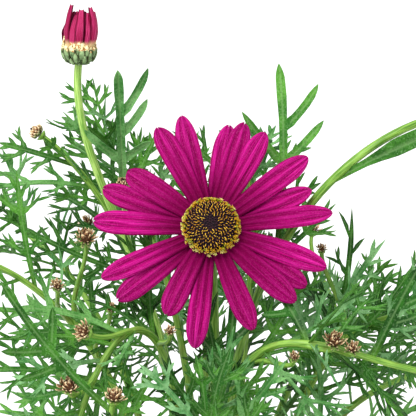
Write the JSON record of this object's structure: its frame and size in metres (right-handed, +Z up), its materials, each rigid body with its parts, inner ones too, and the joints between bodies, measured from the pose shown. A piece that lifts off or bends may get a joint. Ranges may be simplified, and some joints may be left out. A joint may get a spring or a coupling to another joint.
{
  "type": "potted marguerite daisy",
  "caption": "Daisy plant with a large open bloom, opening buds and a mound of finely cut leaves, growing from compost in a plain tapered clay pot.",
  "frame": {"origin": "centre of the underside of the pot's flat base, on the pot's axis", "axes": "+Z up along the pot's axis; the open bloom looks towards -Y and 29 degrees upwards; +X is to the right of someone who looks at the bloom"},
  "size_m": [0.1899, 0.195, 0.2701],
  "materials": {
    "clay": "matte unglazed clay",
    "compost": "rough, crumbly",
    "magenta_petal": "soft satin",
    "disc_gold": "matte, knobbly",
    "stem_green": "satin",
    "leaf_green": "satin",
    "bud_pink": "satin",
    "scale_brown": "dry and papery"
  },
  "bodies": {
    "root": {"pot": "clay", "compost": "compost", "ray_florets": "magenta_petal", "disc_florets": "disc_gold", "bloom_stalk": "stem_green", "bud_petals": "bud_pink", "bud_stalk": "stem_green", "side_bud_petals": "bud_pink", "side_bud_stalk": "stem_green", "stem_upper_left": "leaf_green", "stem_high_left": "leaf_green", "stem_left": "leaf_green", "stem_front_left": "leaf_green", "stem_low_left": "leaf_green", "stem_front": "leaf_green", "stem_front_right": "leaf_green", "stem_low_right": "leaf_green", "stem_right": "leaf_green", "stem_high_back": "leaf_green", "stem_back_right": "leaf_green", "stem_back": "leaf_green", "stem_back_left": "leaf_green", "stem_low_side": "leaf_green", "small_bud_1": "scale_brown", "small_bud_2": "scale_brown", "small_bud_3": "scale_brown", "small_bud_4": "scale_brown", "small_bud_5": "scale_brown", "small_bud_6": "scale_brown", "small_bud_7": "scale_brown", "small_bud_8": "scale_brown", "small_bud_9": "scale_brown", "small_bud_10": "scale_brown", "small_bud_11": "scale_brown", "small_bud_12": "scale_brown", "small_bud_13": "scale_brown", "small_bud_14": "scale_brown", "small_bud_15": "scale_brown", "small_bud_16": "scale_brown"}
  },
  "joints": []
}
